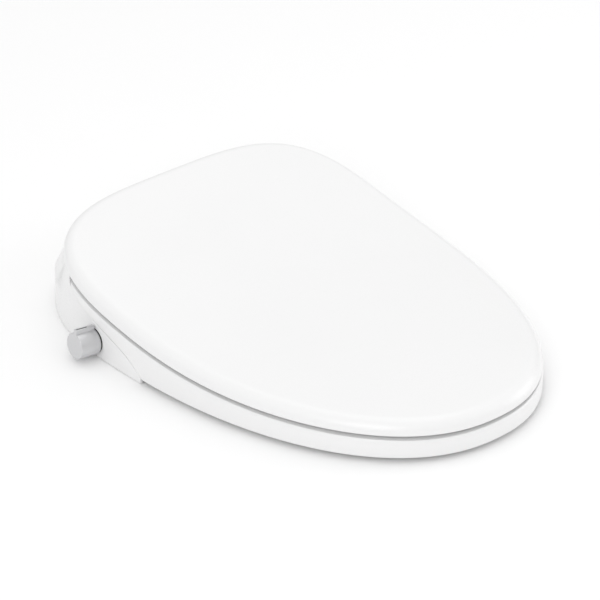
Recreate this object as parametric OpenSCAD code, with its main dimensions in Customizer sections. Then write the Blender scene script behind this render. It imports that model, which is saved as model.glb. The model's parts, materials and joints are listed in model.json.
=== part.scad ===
// Electric bidet seat: a hinged lid and heated seat ring on a rear housing that
// holds the water valve, heater, electronics and two sliding spray wands.
// Millimetres. Origin midway between the two bolt slots, on the bowl rim.
// Front of the seat towards -Y, +Z up.

/* [Lid] */
// Length of the lid, front edge to rear edge
lid_len = 515; // [430:5:620]
// Width of the lid
lid_w = 386; // [320:0.2:466]
// Thickness of the lid's rolled edge
lid_edge_t = 14.4; // [13:0.2:18]
// Wall of the lid's outer shell
lid_wall = 3; // [2.4:0.2:3.6]
// How far the lid's rear edge stands behind the bolt slots
lid_behind_bolts = 50; // [46:1:54]
// Angle that the lid opens, beyond the seat
lid_open = 102; // [80:1:104]

/* [Seat] */
// Length of the seat's opening
opening_len = 300; // [250:5:330]
// Half width of the seat's opening
opening_half_w = 106; // [90:1:112]
// Height of the ring's underside above the bowl rim
ring_lift = 5.5; // [4.5:0.1:6.6]
// Wall of the seat ring's two shells
ring_wall = 3; // [2.4:0.2:3.6]

/* [Housing] */
// Height of the housing's upright side wall
wall_h = 37.5; // [34:0.5:40]
// How far the housing stands behind the lid's rear edge
housing_behind_lid = 21; // [18:1:25]
// Wall of the housing
housing_wall_t = 3; // [2.4:0.2:3.4]
// Height of the hinge axis above the bowl rim
hinge_z = 67.5; // [66:0.5:69]
// Radius of the hinge pins
hinge_pin_r = 4; // [3.3:0.1:4.8]

/* [Control] */
// Radius of the control knob
knob_r = 14; // [11:0.5:16]
// Length of the control knob
knob_len = 25; // [22:0.5:32]
// Radius of the knob's spindle
spindle_r = 4; // [3.3:0.1:4.8]

/* [Spray wands] */
// Radius of each spray wand
wand_r = 5.5; // [4.5:0.1:6]
// Travel of each spray wand
wand_travel = 72; // [55:1:74]
// Slope of the wands below level, in degrees
wand_slope = 16; // [13:0.5:18]

/* [Mounting] */
// Spacing of the two bolt slots
bolt_spacing = 139.7; // [130:0.1:160]
// Width of each bolt slot
slot_w = 9; // [7:0.5:11]
// End-to-end length of each bolt slot
slot_len = 35; // [28:1:40]
// Outer radius of the water inlet's thread, G1/2
inlet_r = 10.45; // [8.7:0.05:12.6]

/* [Hidden] */
$fn = 48;

running_gap = 0.05;          // radial, shaft in bore
part_gap = 0.4;              // between neighbouring pieces
seam_gap = 2;                // visible seam, lid to seat and seat to housing

// ---- outline of the lid: two half superellipses that meet at the widest line ----
half_w = lid_w / 2;
lid_rear_y = lid_behind_bolts;
lid_front_y = lid_rear_y - lid_len;
front_b = 0.6544 * lid_len;
rear_b = lid_len - front_b;
wide_y = lid_front_y + front_b;
front_n = 2.2;
rear_n = 3.6;
H = 36;                      // steps along half an outline
F = 18;                      // of which these lie in front of the widest line

function ease(v, p) = pow(v, p) / (pow(v, p) + pow(1 - v, p));
function unit(v) = v / norm(v);
function mean(pts) = [for (p = pts) 1] * pts / len(pts);
function smooth_min(a, b, k) = min(a, b) - k * ln(1 + exp(-abs(a - b) / k));
function clamp01(v) = max(0, min(1, v));
function smooth(v) = clamp01(v) * clamp01(v) * (3 - 2 * clamp01(v));

function front_pt(phi, inset) =
    let(x = half_w * pow(cos(phi), 2 / front_n), y = front_b * pow(sin(phi), 2 / front_n))
    let(g = unit([pow(x / half_w, front_n - 1) / half_w, -pow(y / front_b, front_n - 1) / front_b]))
    [x, wide_y - y] - inset * g;
function rear_pt(phi, inset) =
    let(x = half_w * pow(cos(phi), 2 / rear_n), y = rear_b * pow(sin(phi), 2 / rear_n))
    let(g = unit([pow(x / half_w, rear_n - 1) / half_w, pow(y / rear_b, rear_n - 1) / rear_b]))
    [x, wide_y + y] - inset * g;
function half_outline_pt(i, inset) =
    i < F ? front_pt(90 * ease(1 - i / F, 1.1), inset)
          : rear_pt(90 * ease((i - F) / (H - F), 1.8), inset);
function both_sides(half) = [
    for (i = [0 : len(half) - 1]) half[i],
    for (i = [len(half) - 2 : -1 : 1]) [-half[i][0], half[i][1]]
];
function lid_outline(inset) = both_sides([for (i = [0 : H]) half_outline_pt(i, inset)]);
function shrink(outline, k, centre) = [for (p = outline) centre + k * (p - centre)];

// height of the lid's lower edge and of its top, along the lid
function along(y) = (y - lid_front_y) / lid_len;
function edge_curve(y) =
    let(s = along(y)) 29.2 + 10.8 * s - 29.1 * pow(s, 2) + 82.5 * pow(s, 3);
function skirt_low(x, y) =
    let(side = side_edge(y))
    let(across = smooth((0.83 - abs(x) / half_w) / 0.2) * smooth((y - wide_y) / rear_b))
    side + (edge_curve(y) - side) * across;
function lid_top_z(y) = edge_curve(y) + lid_edge_t;
function on_lid(outline, drop, crown, k) = [
    for (p = outline) [p[0], p[1], lid_top_z(p[1]) - drop + crown * (1 - k * k)]
];
function on_skirt(outline) = [for (p = outline) [p[0], p[1], skirt_low(p[0], p[1])]];

// ---- seat ring ----
wing_start_y = lid_rear_y - 70;      // where the seam leaves the lid's edge
wing_tip_y = lid_rear_y - 197;       // where the seam meets the rim
seat_rear_y = wing_start_y - seam_gap;
opening_rear_y = seat_rear_y - 73;
opening_y = opening_rear_y - opening_len / 2;
opening_n = 2.15;

function seam_t(y) = clamp01((wing_start_y - y) / (wing_start_y - wing_tip_y));
function wing_top(y) =
    let(t = seam_t(y)) ring_lift + 49.5 - 40 * t - 11.5 * pow(t, 10) + 5 * exp(-t / 0.04);
function ring_low(y) = seam_t(y) >= 1 ? ring_lift : wing_top(y) + seam_gap;
function side_edge(y) = smooth_min(edge_curve(y), 73, 1.5);
function ring_high(y) = side_edge(y) - seam_gap;

seat_outline = [
    for (p = lid_outline(-0.5)) [p[0], smooth_min(p[1], seat_rear_y, 2.5)]
];
centre_xy = [0, opening_y];
function opening_r(dir) =
    1 / pow(pow(abs(dir[0]) / opening_half_w, opening_n)
          + pow(abs(dir[1]) / (opening_len / 2), opening_n), 1 / opening_n);
seat_opening = [
    for (p = seat_outline)
        let(dir = unit(p - centre_xy)) centre_xy + opening_r(dir) * dir
];
// point w of the way from the outline to the opening, moved in by d, at height z
function ring_pt(i, w, d) =
    let(o = seat_outline[i], q = seat_opening[i], u = unit(q - o)) o + w * (q - o) + d * u;
function ring_section(i, shape) = [
    for (s = shape)
        let(p = ring_pt(i, s[0], s[1]))
        let(low = ring_low(p[1]), high = ring_high(p[1]))
        [p[0], p[1], s[2] == "low" ? low + s[3] : max(low + s[4], high + s[3])]
];

// ---- housing ----
housing_rear_y = lid_rear_y + housing_behind_lid;
housing_b = rear_b * 1.27;
housing_n = 2.8;
housing_front_y = seat_rear_y + 6;
shoulder_low = wall_h + 5;
ledge_half_x = 128;
WS = 18;                             // steps along a wing of the housing
HS = 10;                             // steps from there to the rear corner
HR = 14;                             // steps along half of its rear
side_end_y = lid_rear_y - 10;

function housing_x(y) =
    y < wide_y ? half_w * pow(1 - pow((wide_y - y) / front_b, front_n), 1 / front_n)
               : half_w * pow(1 - pow((y - wide_y) / housing_b, housing_n), 1 / housing_n);
function housing_y(x) =
    smooth_min(wide_y + housing_b * pow(1 - pow(x / half_w, housing_n), 1 / housing_n),
               housing_rear_y, 4);
corner_x = housing_x(side_end_y);
housing_half = concat(
    [for (i = [0 : WS])
        let(y = wing_tip_y + 1 + (wing_start_y - wing_tip_y - 1.05) * i / WS) [housing_x(y), y]],
    [for (i = [0 : HS])
        let(y = wing_start_y + 0.4 + (side_end_y - wing_start_y - 0.4) * i / HS)
            [housing_x(y), y]],
    [for (i = [1 : HR])
        let(x = corner_x * (1 - i / HR)) [x, housing_y(x)]]
);
housing_path = [
    for (i = [0 : len(housing_half) - 1]) housing_half[i],
    for (i = [len(housing_half) - 2 : -1 : 0]) [-housing_half[i][0], housing_half[i][1]]
];
// direction into the housing: almost along X at the wings, square to the wall behind them
function inward(path, i) =
    let(a = path[max(i - 1, 0)], b = path[min(i + 1, len(path) - 1)])
    let(turn = 0.05 + 0.95 * smooth((path[i][1] - wing_start_y) / 30))
    let(t = unit(b - a)) unit([-t[1], turn * t[0]]);
function inset_path(path, d) = [for (i = [0 : len(path) - 1]) path[i] + d * inward(path, i)];
// inset of the shoulder's top edge: it follows the lid's outline round the corner
function shoulder_inset(p) = 1 + 9 * smooth((p[1] - wing_start_y) / 45);
function shoulder_z(p) =
    let(deck = side_edge(p[1]) - 1.2 - 12 * smooth((p[1] - wing_start_y - 25) / 25))
    deck - (deck - shoulder_low) * smooth((ledge_half_x + 14 - abs(p[0])) / 12);
function wing_depth(y) = 8 + 34 * smooth((y - wing_tip_y) / 90);
// how much of the wing's depth is left behind it, and of its inner wall
cheek_end_y = wing_start_y + 8;
function cheek(y) = 1 - smooth((y - cheek_end_y) / 25);
function cheek_wall(y) = 1 - smooth((y - cheek_end_y) / 12);
function housing_section(i) =
    let(p = housing_path[i], wing = p[1] < wing_start_y, w = housing_wall_t)
    let(top = wing ? wing_top(p[1]) : shoulder_z(p))
    let(knee = min(wall_h, top - w - 0.6))
    let(in = wing ? 0.4 : shoulder_inset(p))
    let(roof = 2 * w + (wing_depth(p[1]) - 2 * w) * cheek(p[1]))
    let(foot = wing ? 0 : top - w - 0.5 - (top - w - 5.2) * cheek_wall(p[1]))
    let(shape = [[0, 0], [0, knee], [in, top], [in + roof, top], [in + roof, foot],
                 [in + roof - w, foot], [in + roof - w, top - w], [in + w, top - w],
                 [w, knee], [w, 0]])
    [for (s = shape) let(q = p + s[0] * inward(housing_path, i)) [q[0], q[1], s[1]]];

// ---- hinge ----
hinge_y = lid_rear_y - 12;
hump_r = 21.3;                       // hump round the hinge axis
hump_rear_y = hinge_y + hump_r;
channel_in = 92;                     // hinge channels, near face
channel_out = 122;                   // hinge channels, far face
channel_floor = hinge_z - 12.5;
eye_r = 9.5;
seat_arm_x = 100.5;
lid_arm_x = 113.5;
arm_w = 10;
bearing_r = hinge_pin_r + 1.6;

// ---- control knob ----
knob_y = lid_rear_y - 120;
knob_z = 17;
knob_tilt = 4;
knob_wall_x = -housing_x(knob_y);
knob_turn = atan((housing_x(knob_y - 5) - housing_x(knob_y + 5)) / 10);
knob_gap = 1.2;                      // dark ring between knob and housing
fin_w = 5;
fin_rise = 4.5;

// ---- spray wands ----
wand_x = 12;
barrel_len = 104;
barrel_mouth = [-60, 21];            // y and z of the barrels' front ends
piston_r = wand_r + 2.4;
barrel_r = piston_r + 1.6;
piston_len = 8;
bush_len = 6;
tip_len = 18;
tip_r = wand_r + 0.7;
rod_out = 4;

// ---- release button, on the side away from the knob ----
button_y = 10;
button_z = 22;
button_r = 9;
button_travel = 4;
button_face_x = housing_x(button_y) + 4;
button_back_x = button_face_x - 24;
stem_r = 3;
stem_rib_x = button_back_x - 16;     // rib that the spring pushes against
rib_t = 3.5;

module at_barrel(x) {
    translate([x, barrel_mouth[0], barrel_mouth[1]])
        rotate([90 + wand_slope, 0, 0])
            children();
}

module at_knob() {
    translate([knob_wall_x, knob_y, knob_z])
        rotate([0, 0, -knob_turn])
            rotate([0, knob_tilt - 90, 0])
                children();
}

module along_x(x0, x1, r) {
    translate([x0, 0, 0])
        rotate([0, 90, 0])
            cylinder(h = x1 - x0, r = r);
}

module at_hinge() {
    translate([0, hinge_y, hinge_z])
        children();
}

module extrude_x(x0, x1) {
    translate([x0, 0, 0])
        rotate([90, 0, 90])
            linear_extrude(x1 - x0)
                children();
}

module block(low, high) {
    translate(low)
        cube(high - low);
}

module rounded_block(low, high, r) {
    size = high - low;
    translate(low)
        linear_extrude(size[2])
            polygon([
                for (c = [[size[0] - r, size[1] - r, 0], [r, size[1] - r, 90],
                          [r, r, 180], [size[0] - r, r, 270]])
                    for (a = [0 : 15 : 90])
                        [c[0] + r * cos(c[2] + a), c[1] + r * sin(c[2] + a)]
            ]);
}

// a skin through rings of points; the ends are closed by a fan, a flat face or each other
module loft(rings, ends) {
    n = len(rings[0]);
    m = len(rings);
    steps = ends == "joined" ? m : m - 1;
    pts = concat([for (r = rings) for (p = r) p],
                 ends == "fan" ? [mean(rings[0]), mean(rings[m - 1])] : []);
    sides = [
        for (j = [0 : steps - 1])
            for (i = [0 : n - 1])
                let(a = j * n + i, b = j * n + (i + 1) % n)
                let(c = ((j + 1) % m) * n + i, d = ((j + 1) % m) * n + (i + 1) % n)
                    each [[a, b, c], [b, d, c]]
    ];
    caps = ends == "flat" ? [[for (i = [n - 1 : -1 : 0]) i], [for (i = [0 : n - 1]) (m - 1) * n + i]]
         : ends == "fan" ? [for (i = [0 : n - 1])
                each [[m * n, (i + 1) % n, i],
                      [m * n + 1, (m - 1) * n + i, (m - 1) * n + (i + 1) % n]]]
         : [];
    polyhedron(points = pts, faces = concat(sides, caps), convexity = 6);
}

// a helical wire spring along +Z from z0 to z1
module coil_spring(z0, z1, r, wire_r, turns) {
    per_turn = 12;
    n = turns * per_turn;
    loft([
        for (i = [0 : n])
            let(a = 360 * i / per_turn, z = z0 + wire_r + (z1 - z0 - 2 * wire_r) * i / n)
            [for (q = [45 : 90 : 315])
                [(r + wire_r * cos(q)) * cos(a), (r + wire_r * cos(q)) * sin(a), z + wire_r * sin(q)]]
    ], "flat");
}

// ======== lid ========

module lid_shell() {
    w = lid_wall;
    roll = lid_outline(lid_edge_t);
    inner_roll = lid_outline(lid_edge_t + 1);
    centre = [0, wide_y - 0.15 * lid_len];
    color("white")
        loft([
            on_lid(shrink(roll, 0.3, centre), 0, 3, 0.3),
            on_lid(shrink(roll, 0.65, centre), 0, 3, 0.65),
            on_lid(shrink(roll, 0.88, centre), 0, 3, 0.88),
            on_lid(roll, 0, 0, 1),
            on_lid(lid_outline(7.5), 1.6, 0, 1),
            on_lid(lid_outline(2.6), 5.2, 0, 1),
            on_lid(lid_outline(0.4), 9.8, 0, 1),
            on_skirt(lid_outline(0)),
            on_skirt(lid_outline(w)),
            on_lid(lid_outline(w + 1), 10.6, 0, 1),
            on_lid(lid_outline(9), 5.2, 0, 1),
            on_lid(inner_roll, w, 0, 1),
            on_lid(shrink(inner_roll, 0.7, centre), w, 3, 0.7),
            on_lid(shrink(inner_roll, 0.3, centre), w, 3, 0.3)
        ], "fan");
}

// underside of the liner that closes the lid from below
liner_t = 2.4;
liner_drop = lid_wall + part_gap + liner_t;
function lid_under(y) = lid_top_z(y) - liner_drop;

module lid_liner() {
    edge = lid_outline(lid_edge_t + 2);
    centre = [0, wide_y - 0.15 * lid_len];
    top = lid_wall + part_gap;
    color("white")
        loft([
            on_lid(shrink(edge, 0.3, centre), top, 3, 0.3),
            on_lid(shrink(edge, 0.7, centre), top, 3, 0.7),
            on_lid(edge, top, 0, 1),
            on_lid(edge, liner_drop, 0, 1),
            on_lid(shrink(edge, 0.7, centre), liner_drop, 3, 0.7),
            on_lid(shrink(edge, 0.3, centre), liner_drop, 3, 0.3)
        ], "fan");
}

module lid_hinge_arms() {
    color("white")
        for (side = [-1, 1])
            at_hinge()
                extrude_x(side * lid_arm_x - arm_w / 2, side * lid_arm_x + arm_w / 2)
                    difference() {
                        union() {
                            circle(r = eye_r);
                            polygon([
                                [-eye_r * 0.98, -1],
                                [-24, lid_under(hinge_y - 24) - hinge_z - part_gap],
                                [-6, lid_under(hinge_y - 6) - hinge_z - part_gap - 0.5],
                                [eye_r * 0.9, 2]
                            ]);
                        }
                        circle(r = bearing_r);
                    }
}

module bushes(arm_x) {
    color("lightgray")
        for (side = [-1, 1])
            at_hinge()
                difference() {
                    along_x(side * arm_x - arm_w / 2, side * arm_x + arm_w / 2, bearing_r);
                    along_x(side * arm_x - arm_w, side * arm_x + arm_w, hinge_pin_r + running_gap);
                }
}

module lid_hinge_bushes() {
    bushes(lid_arm_x);
}

module seat_hinge_bushes() {
    bushes(seat_arm_x);
}

// rubber stops under the lid, resting on the seat ring
stop_r = 7;
lid_stop_places = [[88, lid_front_y + 62], [146, wide_y - 42]];

module lid_bumpers() {
    color("gainsboro")
        for (side = [-1, 1])
            for (p = lid_stop_places) {
                low = ring_high(p[1] + stop_r) + 3.2;
                translate([side * p[0], p[1], low])
                    cylinder(h = lid_under(p[1] - stop_r) - 0.3 - low, r = stop_r);
            }
}

// ======== seat ring ========

module seat_top_shell() {
    w = ring_wall;
    shape = [
        [0, 0, "low", 0, 0],
        [0, 0, "high", -7, 3],
        [0, 1.5, "high", -2.6, 6],
        [0, 5, "high", -0.3, 8],
        [0.25, 0, "high", 2.4, 9],
        [0.6, 0, "high", 1.6, 9],
        [0.86, 0, "high", -2.6, 8],
        [0.97, 0, "high", -8, 6],
        [1, 0, "low", 2, 2],
        [1, 0, "low", 0, 0],
        [1, -w, "low", 0, 0],
        [1, -w, "low", 3.2, 0],
        [0.96, -w, "high", -9 - w, 5],
        [0.84, 0, "high", -2.8 - w, 5],
        [0.6, 0, "high", 1.6 - w, 6],
        [0.25, 0, "high", 2.4 - w, 6],
        [0, 6, "high", -0.6 - w, 5],
        [0, w, "high", -7, 3],
        [0, w, "low", 0, 0]
    ];
    color("white")
        loft([for (i = [0 : len(seat_outline) - 1]) ring_section(i, shape)], "joined");
}

module seat_base_shell() {
    edge = ring_wall + part_gap;
    across = [[0, edge], [0.15, 0], [0.3, 0], [0.45, 0], [0.6, 0], [0.8, 0], [1, -edge]];
    last = len(across) - 1;
    shape = concat(
        [for (i = [0 : last]) [across[i][0], across[i][1], "low", 2.4, 0]],
        [for (i = [last : -1 : 0]) [across[i][0], across[i][1], "low", 0.4, 0]]
    );
    color("whitesmoke")
        loft([for (i = [0 : len(seat_outline) - 1]) ring_section(i, shape)], "joined");
}

module seat_heater_foil() {
    top = -ring_wall - 0.5;
    foil_t = 0.8;
    shape = [
        [0.22, 0, "high", top + 1.7 - foil_t, 4],
        [0.22, 0, "high", top + 1.7, 4.8],
        [0.6, 0, "high", top + 1.3, 4.8],
        [0.78, 0, "high", top - 1.8, 4.2],
        [0.78, 0, "high", top - 1.8 - foil_t, 3.4],
        [0.6, 0, "high", top + 1.3 - foil_t, 4]
    ];
    color("darkorange")
        loft([for (i = [0 : len(seat_outline) - 1]) ring_section(i, shape)], "joined");
}

module seat_hinge_arms() {
    reach = seat_rear_y + part_gap - hinge_y;
    low = ring_low(seat_rear_y) + 0.6 - hinge_z;
    color("white")
        for (side = [-1, 1])
            at_hinge()
                extrude_x(side * seat_arm_x - arm_w / 2, side * seat_arm_x + arm_w / 2)
                    difference() {
                        union() {
                            circle(r = eye_r);
                            polygon([
                                [reach, low],
                                [2, -eye_r],
                                [-2, eye_r],
                                [reach, low + 10]
                            ]);
                        }
                        circle(r = bearing_r);
                    }
}

seat_stop_places = [[70, lid_front_y + 55], [150, wide_y - 110]];

module seat_bumpers() {
    color("gainsboro")
        for (side = [-1, 1])
            for (p = seat_stop_places)
                translate([side * p[0], p[1], 0])
                    cylinder(h = ring_lift + 0.3, r = stop_r);
}

// ======== housing ========

module housing_wall() {
    color("white")
        difference() {
            loft([for (i = [0 : len(housing_path) - 1]) housing_section(i)], "flat");
            at_knob()
                translate([0, 0, -14])
                    cylinder(h = 20, r = spindle_r + 2);
            at_knob()
                translate([0, 0, seal_z])
                    cylinder(h = 8, r = knob_r + 1.2);
            translate([0, button_y, button_z])
                along_x(button_back_x, button_face_x + 10, button_r + part_gap);
            translate([inlet_x, housing_rear_y - 12, inlet_z])
                rotate([-90, 0, 0])
                    cylinder(h = 20, r = inlet_neck_r + part_gap);
            translate([gland_x, housing_rear_y - 12, gland_z])
                rotate([-90, 0, 0])
                    cylinder(h = 20, r = gland_r + part_gap);
        }
}

// profile of the hump over the hinge, moved in by d
base_z = 4.6;
ledge_z = shoulder_low + part_gap;
function hump_profile(d) = concat(
    [[housing_front_y + d, d > 0 ? base_z - 1 : base_z],
     [housing_front_y + d, hinge_z + 3.5 - d],
     [housing_front_y + 3 + d, hinge_z + 5.5 - d]],
    [for (a = [110 : -5 : 0])
        [hinge_y + (hump_r - d) * cos(a), hinge_z + (hump_r - d) * sin(a)]],
    [[hump_rear_y - d, d > 0 ? ledge_z - 1 : ledge_z]],
    [[hump_rear_y - d - (d > 0 ? 0 : 14), d > 0 ? base_z - 1 : ledge_z]],
    d > 0 ? [] : [[hump_rear_y - 14, base_z]]
);

hose_hole = [25, 47.5];              // y and z where a hose leaves the hump

module top_cover() {
    w = housing_wall_t;
    deck = channel_floor;
    cheek_w = 6;
    deck_out = housing_x(cheek_end_y) - shoulder_inset([0, cheek_end_y])
             - wing_depth(cheek_end_y) - part_gap;
    color("white")
        difference() {
            union() {
                difference() {
                    extrude_x(-channel_in, channel_in)
                        polygon(hump_profile(0));
                    extrude_x(-channel_in + w, channel_in - w)
                        polygon(hump_profile(w));
                }
                for (side = [0, 1])
                    mirror([side, 0, 0]) {
                        block([channel_in - 1, housing_front_y, deck - w],
                              [ledge_half_x - 10, hump_rear_y - w, deck]);
                        block([channel_in - 1, hump_rear_y - 2 * w, ledge_z],
                              [ledge_half_x - 14, hump_rear_y - w, deck - 1]);
                        block([ledge_half_x - 11, housing_front_y, deck - w],
                              [deck_out, hinge_y - 2, deck]);
                        block([channel_in - 1.5, housing_front_y + 0.2, base_z + 0.3],
                              [deck_out, housing_front_y + w, deck - 1]);
                        at_hinge()
                            extrude_x(channel_out, channel_out + cheek_w)
                                union() {
                                    circle(r = 8);
                                    translate([-8, deck - 1 - hinge_z])
                                        square([16, hinge_z - deck + 1]);
                                }
                    }
            }
            at_hinge()
                along_x(-channel_out - cheek_w - 1, channel_out + cheek_w + 1, hinge_pin_r + running_gap);
            block([-hood_half_x - part_gap, housing_front_y - 1, 0],
                  [hood_half_x + part_gap, housing_front_y + w + 1, hood_top_z + 4]);
            translate([0, hose_hole[0], hose_hole[1]])
                along_x(channel_in - w - 1, channel_in + 1, hose_r + 1.2);
        }
}

function floor_inset(path, i) =
    path[i] + (housing_wall_t + part_gap) * inward(path, i);
function floor_inner(path, i) =
    path[i] + (wing_depth(path[i][1]) - housing_wall_t - part_gap) * inward(path, i);
wing_steps = [for (i = [0 : WS]) if (housing_path[i][1] < wing_start_y - 4
                                     && wing_depth(housing_path[i][1]) > 14) i];
floor_first = wing_steps[0];
floor_last = len(housing_path) - 1 - floor_first;
floor_outline = concat(
    [for (i = [floor_first : floor_last]) floor_inset(housing_path, i)],
    [for (i = [0 : len(wing_steps) - 1])
        floor_inner(housing_path, len(housing_path) - 1 - wing_steps[i])],
    [for (side = [-1, 1])
        let(i = wing_steps[len(wing_steps) - 1])
            [side * floor_inner(housing_path, i)[0], housing_front_y - 1]],
    [for (i = [len(wing_steps) - 1 : -1 : 0]) floor_inner(housing_path, wing_steps[i])]
);

plate_half_x = 106;
plate_y = [-20, 46];
plate_t = 4.5;
floor_t = 2.6;
floor_z = 1.6;
pan_half_x = channel_in - housing_wall_t - 1;
pan_y = 12;                          // the pan leaves the room over the bolts free
pan_z = plate_t + 2.4;

module base_plate() {
    color("whitesmoke") {
        difference() {
            union() {
                translate([0, 0, floor_z])
                    linear_extrude(floor_t)
                        polygon(floor_outline);
                for (p = screw_places)
                    translate([p[0], p[1], floor_z + 1])
                        cylinder(h = 12, r = screw_r + 2.5);
            }
            block([-plate_half_x - part_gap, plate_y[0] - 10, 0],
                  [plate_half_x + part_gap, plate_y[1] + part_gap, 10]);
            for (p = screw_places)
                translate([p[0], p[1], 0])
                    cylinder(h = 20, r = screw_r + 0.3);
        }
        difference() {
            block([stem_rib_x, button_y - 9, floor_z + floor_t / 2],
                  [stem_rib_x + rib_t, button_y + 9, button_z + 8]);
            translate([0, button_y, button_z])
                along_x(stem_rib_x - 1, stem_rib_x + rib_t + 1, stem_r + running_gap);
        }
        block([-plate_half_x - 4, plate_y[0] + 14, floor_z + floor_t / 2],
              [-plate_half_x - 1, plate_y[1], plate_t + 4]);
        block([-pan_half_x, pan_y, plate_t + part_gap],
              [pan_half_x, plate_y[1] + 3, pan_z]);
        block([-pan_half_x, plate_y[1] + 0.8, floor_z],
              [pan_half_x, plate_y[1] + 3, pan_z - 0.5]);
    }
}

module mounting_plate() {
    color("whitesmoke")
        difference() {
            rounded_block([-plate_half_x, plate_y[0], 0], [plate_half_x, plate_y[1], plate_t], 8);
            for (side = [-1, 1])
                translate([side * bolt_spacing / 2, 0, -1]) {
                    for (end = [-1, 1])
                        translate([end * (slot_len - slot_w) / 2, 0, 0])
                            cylinder(h = plate_t + 2, r = slot_w / 2);
                    translate([-(slot_len - slot_w) / 2, -slot_w / 2, 0])
                        cube([slot_len - slot_w, slot_w, plate_t + 2]);
                }
            block([hook_x - 4.5 - button_travel, button_y - 5, plate_t - 2],
                  [plate_half_x + 1, button_y + 5, plate_t + 2]);
        }
}

hood_half_x = 34;
hood_front_y = -86;
hood_low_z = plate_t + 0.8;
hood_top_z = 50;

module nozzle_hood() {
    w = 2.4;
    front_top = hood_top_z - 18;
    back = housing_front_y - part_gap;
    color("white")
        difference() {
            extrude_x(-hood_half_x, hood_half_x)
                polygon([[hood_front_y, hood_low_z], [hood_front_y, front_top - 6],
                         [hood_front_y + 2, front_top - 2], [hood_front_y + 6, front_top],
                         [back, hood_top_z], [back, hood_low_z]]);
            extrude_x(-hood_half_x + w, hood_half_x - w)
                polygon([[hood_front_y + w, hood_low_z + w], [hood_front_y + w, front_top - 6],
                         [hood_front_y + 6, front_top - w], [back + 1, hood_top_z - w],
                         [back + 1, hood_low_z + w]]);
            block([-wand_x - tip_r - 1.5, hood_front_y - 1, hood_low_z - 1],
                  [wand_x + tip_r + 1.5, hood_front_y + w + 1, barrel_mouth[1] + 1]);
        }
}

// ======== hinge fixings ========

module hinge_pins() {
    color("silver")
        for (side = [-1, 1])
            at_hinge()
                along_x(side > 0 ? channel_in - housing_wall_t - 0.5 : -channel_out - 5.5,
                        side > 0 ? channel_out + 5.5 : -channel_in + housing_wall_t + 0.5,
                        hinge_pin_r);
}

module damper(side) {
    x_near = channel_in - housing_wall_t - 1;
    len = 46;
    color("dimgray")
        at_hinge()
            mirror([side < 0 ? 1 : 0, 0, 0]) {
                along_x(x_near - len, x_near, 10);
                along_x(x_near - len - 4, x_near - len, 6);
                extrude_x(x_near - 12, x_near - 6)
                    translate([-5, -16])
                        square([10, 16]);
            }
}

module seat_damper() {
    damper(-1);
}

module lid_damper() {
    damper(1);
}

// ======== control knob and valve ========

seal_z = -0.8;

module knob_seal() {
    color("dimgray")
        at_knob()
            difference() {
                translate([0, 0, seal_z])
                    cylinder(h = knob_gap - 0.1 - seal_z, r = knob_r - 1);
                translate([0, 0, -1])
                    cylinder(h = 4, r = spindle_r + 0.5);
            }
}

module control_knob() {
    color("lightgray")
        at_knob()
            difference() {
                union() {
                    translate([0, 0, knob_gap])
                        cylinder(h = knob_len - knob_gap, r = knob_r);
                    translate([0, -fin_w / 2, knob_gap + 1])
                        cube([knob_r + fin_rise, fin_w, knob_len - knob_gap - 1]);
                }
                translate([0, 0, knob_gap - 1])
                    cylinder(h = knob_len - 6, r = spindle_r);
                translate([knob_r + fin_rise - 0.6, -0.7, knob_gap + 6])
                    cube([2, 1.4, knob_len - knob_gap - 7]);
            }
}

valve_depth = 13;

module knob_spindle() {
    color("darkgray")
        at_knob()
            translate([0, 0, -valve_depth])
                cylinder(h = valve_depth + knob_len - 6, r = spindle_r);
}

module control_valve() {
    color("lightsteelblue")
        difference() {
            union() {
                at_knob() {
                    translate([0, 0, -valve_depth - 4])
                        cylinder(h = valve_depth, r = spindle_r + 7);
                    translate([0, 0, -valve_depth - 16])
                        cylinder(h = 13, r = spindle_r + 6);
                    for (end = [-1, 1])
                        translate([0, end * 9, -valve_depth - 11])
                            rotate([-end * 90, 0, 0])
                                cylinder(h = 10, r = 3);
                }
            }
            at_knob()
                translate([0, 0, -valve_depth - 0.5])
                    cylinder(h = valve_depth + 4, r = spindle_r + running_gap);
        }
}

// ======== water path ========

inlet_x = 88;
inlet_z = 22;

inlet_neck_r = inlet_r - 1.2;
inlet_reach = 13;                    // length of the thread outside the housing

module inlet_connector() {
    color("silver")
        translate([inlet_x, housing_rear_y - 14, inlet_z])
            rotate([-90, 0, 0])
                difference() {
                    union() {
                        cylinder(h = 8, r = inlet_r + 3);
                        cylinder(h = 18, r = inlet_neck_r);
                        translate([0, 0, 14.6])
                            cylinder(h = 2, r = inlet_r + 2.6);
                        translate([0, 0, 16.6])
                            cylinder(h = inlet_reach, r = inlet_r);
                    }
                    translate([0, 0, -1])
                        cylinder(h = 20 + inlet_reach, r = inlet_r - 3.2);
                }
}

module inlet_solenoid() {
    color("lightsteelblue") {
        rounded_block([98, 16, 6], [126, 44, 28], 4);
        translate([112, 30, 27])
            cylinder(h = 19, r = 10);
    }
}

module water_heater() {
    color("silver") {
        rounded_block([30, pan_y, pan_z + 0.3], [82, 46, 42], 8);
        for (x = [44, 68])
            translate([x, 23, 41])
                cylinder(h = 6, r = 4);
    }
}

module water_manifold() {
    color("lightsteelblue")
        translate([0, barrel_mouth[0], barrel_mouth[1]])
            rotate([90 + wand_slope, 0, 0])
                translate([-22, -9, -barrel_len - 14.4])
                    cube([44, 18, 14]);
}

// a tube of eight sides along a few points
module hose(points, r) {
    last = len(points) - 1;
    aside = [0.31, 0.52, 0.8];
    loft([
        for (i = [0 : last])
            let(d = unit(points[min(i + 1, last)] - points[max(i - 1, 0)]))
            let(u = unit(cross(d, aside)), v = cross(d, u))
            [for (a = [0 : 45 : 315]) points[i] + r * (cos(a) * u - sin(a) * v)]
    ], "flat");
}

hose_r = 3;

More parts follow.
